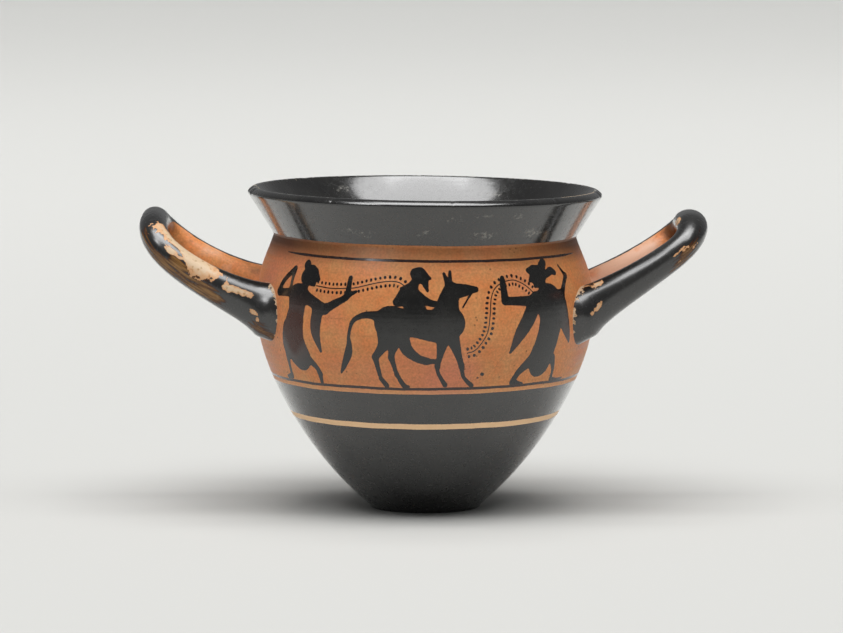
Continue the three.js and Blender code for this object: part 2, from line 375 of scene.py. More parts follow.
# Painted frieze: brush strokes as (along, up, half width) in millimetres from each figure's place
# on the ground line
groundLine = 43.0
bareStripe = 30.24  # height of the bare stripe round the lower body
rimPaint = bowl["height"] - 5  # a height within the black of the rim
figures = {
    "turningDancer": {
        "head": [(2.2, 32.9, 2.4), (4.8, 33.2, 2.6)], "nose": [(6.6, 32.9, 1.3), (7.8, 32.3, 0.6)],
        "chin": [(5.2, 31.2, 1.0), (6.2, 30.7, 0.6)], "hair": [(4.0, 34.6, 2.0), (5.4, 34.2, 1.6)],
        "bun": [(1.3, 36.5, 1.4), (1.5, 36.4, 1.4)], "bunTie": [(1.9, 35.6, 0.8), (3.0, 34.8, 0.9)],
        "neck": [(2.6, 31.0, 1.3), (2.0, 29.0, 1.6)],
        "shoulders": [(-2.5, 27.4, 1.9), (2.4, 27.0, 2.2)],
        "body": [(-0.6, 26.5, 4.2), (-1.0, 22.5, 3.7), (-1.6, 19.5, 3.7)],
        "skirt": [(-1.8, 19.5, 4.0), (-2.8, 14.0, 5.0), (-2.0, 10.4, 5.2), (-0.8, 8.6, 4.8)],
        "backFold": [(-5.2, 17.0, 2.4), (-6.6, 12.0, 2.2), (-7.2, 8.0, 1.2)],
        "backLeg": [(-7.4, 8.6, 1.0), (-8.0, 4.6, 0.75), (-8.2, 2.0, 0.75)],
        "backFoot": [(-8.6, 1.4, 0.9), (-11.4, 1.0, 0.6)],
        "frontLeg": [(2.0, 8.6, 1.5), (5.6, 5.6, 1.0), (6.8, 3.6, 0.95)],
        "frontFoot": [(6.7, 3.2, 0.95), (6.6, 0.6, 0.7)],
        "raisedArm": [(-3.4, 27.7, 1.3), (-10.6, 27.2, 1.15)],
        "raisedForearm": [(-10.8, 27.4, 1.1), (-8.7, 30.8, 0.95), (-4.2, 34.8, 0.95)],
        "fingers": [(-3.9, 34.6, 0.9), (-4.2, 31.6, 0.7), (-4.5, 28.4, 0.65)],
        "reachingArm": [(3.6, 26.6, 2.0), (11.0, 23.6, 1.6)],
        "reachingForearm": [(11.0, 23.6, 1.5), (18.6, 27.6, 1.0)],
        "hand": [(19.2, 28.6, 1.0), (19.6, 33.6, 0.75)], "thumb": [(19.0, 28.2, 0.8), (22.0, 29.6, 0.5)],
        "sleeve": [(8.2, 23.0, 2.2), (7.4, 17.0, 1.9), (8.9, 10.6, 0.5)],
    },
    "facingDancer": {
        "head": [(-3.0, 33.6, 2.7), (-4.4, 33.6, 2.4)], "nose": [(-6.0, 33.4, 1.2), (-7.2, 32.8, 0.6)],
        "chin": [(-4.6, 31.6, 1.1), (-5.4, 31.0, 0.6)], "hair": [(-1.8, 34.8, 2.4), (-4.6, 35.6, 1.8)],
        "fringe": [(-5.6, 35.6, 1.4), (-7.2, 35.8, 0.8)],
        "knot": [(0.5, 37.8, 1.35), (-0.6, 36.9, 1.5)],
        "lock": [(0.6, 34.2, 1.0), (3.0, 35.2, 1.25), (4.8, 34.6, 0.9)],
        "neck": [(-2.6, 31.8, 1.6), (-1.6, 29.4, 1.9)],
        "shoulders": [(-5.8, 27.3, 2.2), (5.6, 27.0, 2.4)],
        "body": [(0.0, 26.0, 5.6), (0.6, 21.5, 5.0), (0.4, 18.0, 4.6)],
        "skirt": [(0.2, 18.0, 4.8), (-1.2, 12.5, 5.0), (-2.6, 8.6, 5.0), (-2.4, 7.0, 4.7)],
        "leftLeg": [(-6.6, 8.0, 1.9), (-10.6, 4.6, 1.2), (-12.4, 1.8, 1.0)],
        "leftFoot": [(-12.6, 1.2, 1.0), (-8.4, 0.4, 0.6)],
        "rightLeg": [(3.0, 8.0, 1.3), (4.8, 4.4, 0.8), (5.2, 1.4, 0.7)],
        "rightFoot": [(5.2, 0.9, 0.7), (9.6, 0.6, 0.45), (12.5, 0.8, 0.3)],
        "leftArm": [(-6.2, 26.6, 1.7), (-17.0, 27.0, 1.25)],
        "leftForearm": [(-17.4, 27.2, 1.25), (-17.6, 32.2, 1.1), (-17.6, 34.0, 0.8)],
        "leftSleeve": [(-6.4, 25.5, 2.6), (-9.2, 20.6, 2.5), (-12.2, 16.4, 2.0), (-15.2, 11.0, 0.5)],
        "rightArm": [(6.6, 27.6, 1.3), (8.6, 31.0, 0.9), (10.6, 33.4, 0.85)],
        "rightHand": [(10.4, 33.0, 0.7), (7.9, 36.5, 0.4)],
        "drape": [(6.2, 24.5, 2.6), (7.6, 18.5, 2.4), (10.6, 12.6, 0.5)],
    },
    "mule": {
        "body": [(-10.6, 20.6, 5.2), (-4.0, 20.4, 4.1), (4.0, 19.9, 5.2), (7.4, 20.6, 5.0)],
        "neck": [(6.4, 23.5, 4.0), (7.4, 28.4, 3.0), (8.2, 31.0, 2.1)],
        "head": [(8.0, 30.8, 2.0), (12.0, 31.0, 1.55), (16.0, 30.8, 0.95)],
        "jaw": [(9.2, 29.6, 1.6), (12.2, 30.0, 1.3)],
        "backEar": [(7.0, 32.4, 0.75), (6.0, 35.6, 0.5)], "frontEar": [(7.9, 32.4, 0.75), (8.0, 36.2, 0.5)],
        "hindLeg": [(-11.4, 17.0, 3.4), (-13.0, 13.5, 1.8), (-15.8, 9.8, 1.0)],
        "hindShank": [(-15.8, 9.8, 0.95), (-14.8, 4.4, 0.7)],
        "hindHoof": [(-14.6, 3.2, 0.7), (-12.8, 0.9, 0.9)],
        "farHindLeg": [(-8.6, 16.0, 2.2), (-10.2, 12.0, 1.2), (-10.6, 9.8, 0.95)],
        "farHindShank": [(-10.6, 9.8, 0.9), (-9.2, 4.6, 0.65)],
        "farHindHoof": [(-9.2, 4.6, 0.65), (-7.0, 1.0, 0.85), (-5.6, 0.6, 0.6)],
        "foreLeg": [(5.4, 15.0, 1.9), (4.6, 10.6, 1.05), (3.9, 7.4, 0.8)],
        "foreShank": [(3.9, 7.4, 0.8), (4.2, 5.0, 0.6), (6.6, 1.2, 0.8)],
        "farForeLeg": [(8.6, 15.6, 2.0), (10.4, 10.6, 1.15), (11.6, 7.2, 0.85)],
        "farForeShank": [(11.6, 7.2, 0.8), (12.6, 3.6, 0.6), (15.6, 0.8, 0.75)],
        "tail": [(-14.2, 22.6, 1.5), (-19.0, 22.6, 1.0), (-22.8, 20.6, 0.7), (-24.2, 16.2, 0.55),
                 (-24.2, 13.6, 0.9), (-24.9, 10.4, 1.35), (-27.2, 6.2, 0.8), (-28.4, 4.4, 0.35)],
        "rein": [(14.6, 30.0, 0.35), (11.6, 25.4, 0.3)],
    },
    "rider": {
        "head": [(-2.2, 35.2, 2.0), (-1.0, 34.8, 1.9)], "hair": [(-3.2, 35.6, 1.6), (-1.6, 36.0, 1.5)],
        "nose": [(0.4, 34.6, 0.9), (1.6, 34.2, 0.45)], "beard": [(-0.2, 33.2, 1.2), (0.8, 30.4, 0.4)],
        "neck": [(-3.0, 33.2, 1.3), (-4.4, 30.8, 1.9)],
        "body": [(-5.0, 29.8, 2.6), (-3.6, 26.0, 3.0), (-2.4, 23.5, 3.2)],
        "backArm": [(-6.6, 30.4, 1.3), (-8.8, 27.0, 1.05)],
        "backForearm": [(-8.8, 26.9, 1.05), (-5.4, 26.4, 0.9)],
        "frontArm": [(-3.4, 30.0, 1.4), (0.6, 27.2, 1.15), (4.2, 26.2, 0.95)],
        "leg": [(-7.2, 18.0, 2.2), (-5.8, 12.8, 1.9), (-2.6, 9.9, 1.4), (0.4, 8.9, 1.1)],
        "foot": [(0.4, 8.8, 1.0), (3.0, 8.8, 0.75)],
    },
    "splash": {"drop": [(18.6, 4.5, 0.55), (19.0, 4.3, 0.5)],
               "smallDrop": [(17.2, 3.4, 0.3), (17.4, 3.2, 0.3)]},
}
# Vines through (along, up) on the frieze, with a thin stem and a dot for each leaf
vines = {
    "left": [(-37.1, 30.5), (-31.0, 30.1), (-25.6, 30.4), (-22.2, 30.8), (-15.7, 32.4), (-11.3, 33.1),
             (-8.1, 32.8), (-5.2, 31.0)],
    "right": [(12.8, 11.2), (15.6, 12.1), (18.0, 14.8), (19.7, 18.1), (20.4, 23.0), (20.9, 27.8),
              (22.3, 30.8), (24.9, 32.5), (28.7, 33.3), (31.5, 32.6), (34.3, 31.0), (36.4, 29.2)],
    "back": [(-9.0, 30.6), (-4.5, 31.8), (-0.5, 29.0), (0.0, 23.0), (-0.6, 16.0), (1.5, 10.5), (6.0, 8.6)],
}
frontPicture = {"turningDancer": -44.0, "mule": 0.0, "rider": 0.0, "facingDancer": 43.0, "splash": 0.0}
backPicture = {"turningDancer": -29.0, "facingDancer": 28.0}


def brushLine(points, spacing=0.25, spanSteps=16):  # a smooth line through a few points
    p = np.array(points, float)
    p = np.vstack([2 * p[0] - p[1], p, 2 * p[-1] - p[-2]])
    t = np.linspace(0, 1, spanSteps, endpoint=False)[:, None]
    pieces = [0.5 * (2 * b + (c - a) * t + (2 * a - 5 * b + 4 * c - d) * t ** 2
                     + (3 * b - a - 3 * c + d) * t ** 3)
              for a, b, c, d in zip(p[:-3], p[1:-2], p[2:-1], p[3:])]
    return spacedPoints(np.vstack(pieces + [p[-2:-1]]), spacing)


def brushedEdge(strokes, x, y, soft=0.25, far=6.0):  # millimetres to the strokes' edge, below zero inside
    total = np.zeros(len(x))
    for stroke in strokes.values():
        edge = np.full(len(x), far)
        for across, up, halfWidth in brushLine(stroke):
            np.minimum(edge, np.hypot(x - across, y - up) - halfWidth, out=edge)
        total += np.exp(-edge / soft)
    return -soft * np.log(total)


def alongVine(points, x, y):  # signed millimetres off a vine's stem, and along it
    line = brushLine(points)
    heading = unit(np.gradient(line, axis=0))
    travelled = distanceAlong(line)
    near = ((x[:, None] - line[:, 0]) ** 2 + (y[:, None] - line[:, 1]) ** 2).argmin(1)
    offX, offY = x - line[near, 0], y - line[near, 1]
    ahead = offX * heading[near, 0] + offY * heading[near, 1]
    aside = heading[near, 0] * offY - heading[near, 1] * offX
    past = ((near == 0) & (ahead < 0)) | ((near == len(line) - 1) & (ahead > 0))
    return np.where(past, farOff["vine"], aside), travelled[near] + ahead


def nearTurn(area, turn, along, margin):  # vertices of an area within a margin of places along the turn
    return np.flatnonzero(area & (turn > along.min() - margin) & (turn < along.max() + margin))


def softPatch(across, halfAcross, up=0.0, halfUp=1.0):  # 1 in the middle, falling off smoothly
    return np.exp(-(across / halfAcross) ** 2 - (up / halfUp) ** 2)


def setAttributes(**layers):
    for name, values in layers.items():
        layer = cup.data.attributes.new(name, "FLOAT", "POINT")
        layer.data.foreach_set("value", values.astype(np.float32))


# How vertices are sorted, in millimetres, and the values that stand for far off
sorting = {"onWall": 0.05, "insideWall": 0.6, "offFloor": 0.5, "footInset": 0.1, "warpRounds": 4}
friezeArea = {"below": 2.0, "above": 41.0, "halfTurn": 75.0, "figureMargin": 9.0, "vineMargin": 5.0}
farOff = {"figure": 4.0, "vine": 9.0}
places = vertexPlaces(cup)
heights = places[:, 2].copy()
for warpRound in range(sorting["warpRounds"]):  # heights as they were before the warp
    heights = places[:, 2] + rimDrop(places, heights)
radius = np.hypot(places[:, 0], places[:, 1])
rising = np.vstack([outside[len(outsideParts[0]):], lip[lip[:, 1] > rimFace[-1, 1]]])
rising = rising[:np.argmax(rising[:, 1]) + 1]  # outline from the foot's edge to the crest of the lip
outsideGap = radius - np.interp(heights, rising[:, 1], rising[:, 0])  # millimetres outside the thrown wall
onFront = places[:, 1] < 0
frontTurn = bowl["belly"][0] * np.arctan2(places[:, 0], -places[:, 1])
backTurn = bowl["belly"][0] * np.arctan2(-places[:, 0], places[:, 1])
onWall = (np.abs(outsideGap) < sorting["onWall"]) & (heights > sorting["offFloor"])
inBowl = (outsideGap < -sorting["insideWall"]) & (heights > bowl["floor"] - sorting["offFloor"])

figureEdge = np.full(len(places), farOff["figure"])
vineAcross = np.full(len(places), farOff["vine"])
vineAlong = np.zeros(len(places))
for picture, turn, side, vineNames in ((frontPicture, frontTurn, onFront, ("left", "right")),
                                       (backPicture, backTurn, ~onFront, ("back",))):
    frieze = (onWall & side & (heights > groundLine - friezeArea["below"])
              & (heights < groundLine + friezeArea["above"]) & (np.abs(turn) < friezeArea["halfTurn"]))
    for figureName, place in picture.items():
        strokes = figures[figureName]
        along = np.concatenate([np.array(stroke)[:, 0] for stroke in strokes.values()])
        near = nearTurn(frieze, turn, place + along, friezeArea["figureMargin"])
        edge = brushedEdge(strokes, turn[near] - place, heights[near] - groundLine)
        figureEdge[near] = np.minimum(figureEdge[near], edge)
    for vineName in vineNames:
        near = nearTurn(frieze, turn, np.array(vines[vineName])[:, 0], friezeArea["vineMargin"])
        aside, travelled = alongVine(vines[vineName], turn[near], heights[near] - groundLine)
        closer = np.abs(aside) < np.abs(vineAcross[near])
        vineAcross[near[closer]] = aside[closer]
        vineAlong[near[closer]] = travelled[closer]

# Where the slip was brushed thin and fired red-brown: turn, height, half width, half height and strength
thinPatches = [(-46.0, 60.0, 8.0, 7.0, 1.5), (-47.5, 53.0, 2.6, 3.0, 0.5), (52.0, 58.0, 3.0, 6.0, 0.7),
               (29.5, 58.0, 2.4, 4.0, 0.45), (47.0, 70.6, 3.0, 1.2, 0.5)]
thinSlip = np.zeros(len(places))
for turn, height, halfTurn, halfHeight, strength in thinPatches:
    thinSlip += strength * softPatch(frontTurn - turn, halfTurn, heights - height, halfHeight) * onFront

# The thin upper line stops near the handles
lineLimits = {"frontMiddle": 4.7, "frontHalf": 60.3, "backHalf": 60.0}
lineEnd = np.where(onFront, np.abs(frontTurn - lineLimits["frontMiddle"]) - lineLimits["frontHalf"],
                   np.abs(backTurn) - lineLimits["backHalf"])
underside = (heights < sorting["onWall"]) & (radius < bowl["footRadius"] - sorting["footInset"])
paintHeight = np.where(inBowl, rimPaint, heights)  # the inside is painted as the rim is
paintHeight[underside] = bareStripe  # and the underside is left bare
setAttributes(wheelHeight=paintHeight, figureEdge=figureEdge.clip(-farOff["figure"], farOff["figure"]),
              vineAcross=vineAcross.clip(-farOff["vine"], farOff["vine"]), vineAlong=vineAlong,
              thinSlip=thinSlip.clip(0, 1), lineEnd=lineEnd)

# Rubbed grey marks on the rim: degrees from the front, height, half turn, half height and strength
rimScuffs = [(-24, 90.6, 8, 1.5, 0.8), (0, 91.6, 4, 2.2, 0.7), (9, 95.3, 8, 0.9, 0.6),
             (21, 90.0, 6, 1.4, 1.0), (20, 96.4, 7, 0.9, 0.6), (32, 95.5, 3, 1.6, 0.7),
             (41, 90.4, 5, 2.0, 0.9), (-148, 97.0, 4, 2.0, 0.8), (153, 95.5, 5, 2.6, 0.7)]
# Slip worn off the lip: degrees from the front, half turn and strength
lipWear = [(-93, 5, 0.6), (-84, 3, 0.55), (-72, 3, 0.4), (88, 5, 0.55), (140, 5, 0.4), (-128, 4, 0.4)]
lipBand = (lip[0][1] - 0.6, lip[0][1] + 0.8)  # heights between which the lip's wear sets in
crest = lip[np.argmax(lip[:, 1])]  # a thin painted highlight runs all round the highest edge of the lip
crestHighlight = {"reach": 0.45, "strength": 0.75}
rimTurn = np.degrees(np.arctan2(places[:, 0], -places[:, 1]))
scuff, worn = np.zeros(len(places)), np.zeros(len(places))
for turn, height, halfTurn, halfHeight, strength in rimScuffs:
    onSide = inBowl == (abs(turn) > 90)  # the near rim shows its outside, the far rim its inside
    scuff += strength * onSide * softPatch(rimTurn - turn, halfTurn, heights - height, halfHeight)
for turn, halfTurn, strength in lipWear:
    aside = (rimTurn - turn + 180) % 360 - 180
    worn += strength * softPatch(aside, halfTurn) * smoothStep(heights, *lipBand)
# the painted highlight along the crest is added to the rim's scuff marks
scuff += crestHighlight["strength"] * (np.hypot(radius - crest[0], heights - crest[1]) < crestHighlight["reach"])
setAttributes(scuff=scuff.clip(0, 1.2), lipWear=worn.clip(0, 1))

# Worn places on the handles, with painted sheen and shade on the inner faces: millimetres along from the
# front root, degrees round from the outer face towards the top, half length, half turn, strength
handleWear = {
    "left": {
        "handleFlake": [
            (36.5, 52, 9.5, 50, 1.5), (42, 74, 5, 28, 0.9), (52.4, 48, 2.4, 24, 0.85),
            (48.5, 66, 2.8, 16, 1.0), (52, 0, 3.2, 30, 0.42), (44.8, 17, 1.5, 8, 1.9),
            (23.2, 17, 2.8, 10, 1.35), (18.4, 21, 3.4, 8, 1.3), (13.3, -14, 1.8, 7, 1.0),
            (11.5, -26, 1.6, 8, 0.7), (15.5, 88, 1.2, 7, 1.9), (20.5, 94, 1.0, 6, 1.9),
            (47.6, 4, 2.4, 14, -1.6), (45.4, 40, 0.9, 6, -1.7), (44.2, 45, 0.9, 6, -1.7),
            (42.9, 44, 0.8, 6, -1.7), (41.8, 36, 0.7, 6, -1.6), (40.6, 26, 0.6, 7, -1.6),
            (39.4, 15, 0.6, 7, -1.6), (38.2, 4, 0.6, 7, -1.5), (47.6, 92, 1.3, 8, -1.7),
            (26.6, 18, 0.9, 16, -2.2), (18.5, 86, 8.5, 24, -1.6), (42, 8, 1.8, 10, -1.0),
            (40.4, -8, 2.0, 10, -0.9), (100, 40, 6, 30, 0.9), (88, -30, 5, 24, 0.7), (112, -10, 5, 20, 0.8)],
        "handleThin": [
            (36, -8, 10, 28, 1.0), (34, -42, 12, 26, 0.75), (45, -42, 7, 26, 0.75), (28, -30, 5, 26, 0.7),
            (10.5, -40, 4.0, 20, 0.8), (6, -62, 4, 22, 0.8), (41.6, 6, 2.2, 12, 0.9),
            (47.6, 4, 3.0, 14, -0.9), (52, -30, 3, 20, 0.5), (95, -40, 16, 36, 0.7)],
        # paler patches are a painted sheen on the inner face; below zero, painted shade deep in the loop
        "handlePaleSheenAndShade": [
            (104, 140, 8, 30, 0.08), (80, 150, 8, 60, -0.35), (92, 170, 8, 40, -0.2),
            (118, 160, 8, 50, -0.25)],
    },
    "right": {
        "handleFlake": [
            (17.4, 3, 1.2, 6, 1.0), (15.6, -3, 1.1, 6, 1.0), (14.2, -9, 0.9, 5, 0.9),
            (19.0, 60, 2.0, 13, 1.2), (15, 74, 2.2, 8, 0.6), (44.5, 0, 1.8, 7, 0.75),
            (46.8, -8, 1.8, 8, 0.65), (48.5, -30, 1.6, 10, 0.55), (43.5, -34, 1.6, 9, 0.5),
            (59, 84, 3.4, 24, 1.4), (104, 10, 4, 20, 0.9), (90, -30, 4, 20, 0.7), (116, 40, 3, 14, 0.8)],
        "handleThin": [
            (46.5, -22, 4.6, 28, 0.95), (41, -52, 7, 16, 0.75), (30, -74, 10, 14, 0.4),
            (96, -36, 12, 30, 0.6)],
        # paler patches are a painted sheen on the inner face; below zero, painted shade deep in the loop
        "handlePaleSheenAndShade": [
            (103, 150, 13, 60, 0.6), (114, 150, 8, 50, 0.2), (85, 150, 8, 70, -0.95)],
    },
}
# The inner face of each loop, past this turn, was left without slip; the turn changes from front to rear
# between these shares of the loop
reserved = {"front": 150.0, "rear": 106.0, "change": (0.4, 0.62), "quarterTurn": 7.5, "farOff": 9.0}
# What belongs to the handles, in millimetres, and the steps of the search for the nearest place on an arm
handleZone = {"gap": 0.02, "reach": 40.0, "faceReach": 42.0, "height": 30.0, "lineSteps": 400,
              "blockSize": 2000}
onArm = {"handleAlong": 0.0, "handleUp": 0.0, "handleOut": 1.0, "handleFlake": 0.0, "handleThin": 0.0,
         "handlePaleSheenAndShade": 0.0, "handleReserve": -reserved["farOff"]}
onArm = {name: np.full(len(places), value) for name, value in onArm.items()}
for handleName, shape in handleShapes.items():
    line = handleCentreline(shape, handleZone["lineSteps"])
    mine = np.flatnonzero((outsideGap > -handleZone["gap"]) & (heights > handleZone["height"])
                          & (places[:, 0] * shape["side"] > handleZone["reach"]))
    near = np.empty(len(mine), int)
    for start in range(0, len(mine), handleZone["blockSize"]):
        block = slice(start, start + handleZone["blockSize"])
        away = places[mine[block], None] - line["centres"][None]
        near[block] = (away ** 2).sum(2).argmin(1)
    offset = places[mine] - line["centres"][near]
    up = (offset * line["upward"][near]).sum(1) / line["thickness"][near]
    out = -shape["side"] * (offset * line["sideways"][near]).sum(1) / line["width"][near]
    size = np.hypot(up, out).clip(1e-6)
    along = line["distance"][near] + (offset * line["forward"][near]).sum(1)
    turn = np.degrees(np.arctan2(up, out))
    toRear = smoothStep(along / line["distance"][-1], *reserved["change"])
    reservedFrom = reserved["front"] + (reserved["rear"] - reserved["front"]) * toRear
    # about millimetres past the painted edge
    past = (np.abs(turn) - reservedFrom) / 90 * reserved["quarterTurn"]
    onArm["handleAlong"][mine] = along
    onArm["handleUp"][mine] = up / size
    onArm["handleOut"][mine] = out / size
    onArm["handleReserve"][mine] = past.clip(-reserved["farOff"], reserved["farOff"])
    for name, patches in handleWear[handleName].items():
        for centre, middle, halfLength, halfTurn, strength in patches:
            aside = (turn - middle + 180) % 360 - 180
            onArm[name][mine] += strength * softPatch(along - centre, halfLength, aside, halfTurn)
onArm["handleThin"] = onArm["handleThin"].clip(0, 1)
setAttributes(**onArm, rootGap=outsideGap.clip(0, 20))
print("frieze laid out:", int((figureEdge < 0).sum()), "vertices under slip")


def addNode(tree, kind, inputs=(), operation=None, out=0, **settings):  # a node with its settings and links
    node = tree.nodes.new("ShaderNode" + kind)
    if operation:
        node.operation = operation
    for name, value in settings.items():
        setattr(node, name, value)
    for socket, value in inputs.items() if isinstance(inputs, dict) else enumerate(inputs):
        if isinstance(value, bpy.types.NodeSocket):
            tree.links.new(value, node.inputs[socket])
        else:
            node.inputs[socket].default_value = value
    return node.outputs[out]


def newMaterial(name):  # a material, its shader and addNode for its tree
    material = bpy.data.materials.new(name)
    material.use_nodes = True
    return material, material.node_tree.nodes["Principled BSDF"], partial(addNode, material.node_tree)


# A MapRange node takes a value, the ends of its range and the ends it is mapped to, or else 0 and 1
perMetre = 1000.0  # on Object coordinates a pattern of some millimetres has the scale perMetre / millimetres
colourMix = {"out": 2, "data_type": "RGBA"}  # a Mix node for colours takes them at 6 and 7

# Iron-rich clay, thrown and burnished: warm orange clouded with tan and pink, freckled, with dark grit,
# umber near the neck (a darker wash with painted shade from the rim) and pale in the low stripes, with a
# satin sheen where the wall turns away
clay = {"orange": "#d6834a", "tan": "#d39159", "pink": "#d4825d", "umberShade": "#4e2c15", "pale": "#ffd3a4",
        "lip": "#a39c80", "grit": "#4e2e1c", "cloud": 7.0, "blush": 30.0, "freckle": 0.7, "streak": 1.2,
        "streakStretch": (0.05, 0.05, 1.0), "streakTone": (0.93, 1.05), "freckleTone": (0.84, 1.14),
        "tanFrom": (0.36, 0.66), "pinkFrom": (0.46, 0.7), "gritFrom": (0.5, 0.56), "gritSpacing": 2.6,
        "gritSpeck": (0.06, 0.16, 0.8, 0.0), "span": (0.3, 0.7), "roughness": (0.34, 0.5), "ripple": 0.03,
        "ior": 1.45}
# Clay slip brushed on thin and sintered in the kiln: a black glass skin over a duller body,
# red-brown where it is thin, with rubbed grey marks and a painted highlight along the crest of the lip
slip = {"black": "#0b0a09", "grey": "#1a1917", "brown": "#3e1a0d", "rubbedAndHighlight": "#8c8a84", "patch": 11.0,
        "greyFrom": (0.4, 0.65), "brush": 1.6, "span": (0.35, 0.65), "roughness": (0.16, 0.3),
        "skinRoughness": 0.13, "handleSkinRoughness": 0.28, "skinIor": 1.63, "friezeDull": 0.55,
        "thickness": 0.03, "brushRelief": 0.015, "bump": 0.5}


def turningStreaks(add, coords):  # fine lines round the pot, left by the wheel and the burnishing
    squeezed = add("Mapping", {"Vector": coords, "Scale": clay["streakStretch"]})
    return add("TexNoise", {"Vector": squeezed, "Scale": perMetre / clay["streak"], "Detail": 3.0})


def clayColour(add, coords, streaks):
    cloud, blush, freckle = (
        add("TexNoise", {"Vector": coords, "Scale": perMetre / clay[size], "Detail": detail,
                         "Roughness": rough})
        for size, detail, rough in (("cloud", 5.0, 0.62), ("blush", 2.0, 0.5), ("freckle", 2.0, 0.5)))
    tanShare = add("MapRange", [cloud, *clay["tanFrom"]])
    pinkShare = add("MapRange", [blush, *clay["pinkFrom"]])
    # grit shows as dark specks in some places
    cells = add("TexVoronoi", {"Vector": coords, "Scale": perMetre / clay["gritSpacing"]})
    speck = add("MapRange", [cells, *clay["gritSpeck"]])
    place = add("MapRange", [cloud, *clay["gritFrom"]])
    grit = add("Math", [speck, place], "MULTIPLY")
    body = toLinear(clay["orange"])
    for share, name in ((tanShare, "tan"), (pinkShare, "pink"), (grit, "grit")):
        body = add("Mix", {"Factor": share, 6: body, 7: toLinear(clay[name])}, **colourMix)
    lines, dots = (add("MapRange", [pattern, *clay["span"], *clay[name]])
                   for pattern, name in ((streaks, "streakTone"), (freckle, "freckleTone")))
    tone = add("Math", [lines, dots], "MULTIPLY")
    return add("VectorMath", {0: body, "Scale": tone}, "SCALE")


def slipColour(add, coords, thin, thinColour):
    patch = add("TexNoise", {"Vector": coords, "Scale": perMetre / slip["patch"], "Detail": 5.0})
    greyShare = add("MapRange", [patch, *slip["greyFrom"]])
    glaze = toLinear(slip["black"])
    for share, colour in ((greyShare, toLinear(slip["grey"])), (thin, thinColour)):
        glaze = add("Mix", {"Factor": share, 6: glaze, 7: colour}, **colourMix)
    return glaze


def firedFinish(add, shader, coords, bare, glaze, covered, dull, streaks, skinRoughness):
    colour = add("Mix", {"Factor": covered, 6: bare, 7: glaze}, **colourMix)
    links = shader.id_data.links
    links.new(colour, shader.inputs["Base Color"])
    brush = add("TexNoise", {"Vector": coords, "Scale": perMetre / slip["brush"], "Detail": 3.0})
    clayRough, slipRough = (add("MapRange", [pattern, *surface["span"], *surface["roughness"]])
                            for pattern, surface in ((streaks, clay), (brush, slip)))
    rough = add("Mix", {"Factor": covered, 2: clayRough, 3: slipRough})
    links.new(rough, shader.inputs["Roughness"])
    shader.inputs["IOR"].default_value = clay["ior"]
    # the glass skin lies only where there is slip, and is weak where that is thin or rubbed
    kept = add("Math", [1.0, dull], "SUBTRACT")
    skin = add("Math", [covered, kept], "MULTIPLY")
    links.new(skin, shader.inputs["Coat Weight"])
    shader.inputs["Coat Roughness"].default_value = skinRoughness
    shader.inputs["Coat IOR"].default_value = slip["skinIor"]
    relief = add("Math", [covered, slip["thickness"]], "MULTIPLY")
    for pattern, depth in ((streaks, clay["ripple"]), (brush, slip["brushRelief"])):
        relief = add("Math", [pattern, depth, relief], "MULTIPLY_ADD")
    bump = add("Bump", {"Height": relief, "Strength": slip["bump"], "Distance": 1 / perMetre})
    for name in ("Normal", "Coat Normal"):
        links.new(bump, shader.inputs[name])


# Heights of the painted bands in millimetres: bare below, slip from each first height up to the second
bands = {"slip": [(0.0, 29.28), (31.2, 40.85), (42.5, 43.2), (86.5, 110.0)], "top": 110.0, "waver": 0.5,
         "groundLine": 42.8, "groundHalf": 0.9, "friezeMiddle": 64.0, "friezeHalf": 22.6,
         # umberShade: heights where the painted shade under the rim sets in, deepest towards the handles
         "umberShade": (79.5, 84.5), "umberShadeMost": (0.28, 0.9), "umberShadeFade": 40.0, "pale": (44.0, 32.0)}
upperLine = {"height": 82.25, "half": 0.4, "tipHalf": 0.12, "taper": 9.0}
vine = {"stemHalf": 0.17, "leafSpacing": 1.5, "leafOff": 1.25, "leafAlong": 0.42, "leafAcross": 0.54}
brushwork = {"waver": 12.0, "quiver": 0.9, "figureQuiver": 0.22, "figureFrom": (0.16, 0.06),
             "leafQuiver": 0.9, "leafEdge": 1.42, "lipQuiver": 1.2, "lipBareFrom": (1.2, 1.28),
             "edgeThin": (-0.2, 0.1, 0.0, 0.2), "lineThin": 0.45,
             "rubbedAndHighlightMarks": 1.5, "rubbedAndHighlightShare": 0.34, "rubbedAndHighlightFrom": (0.7, 0.88)}


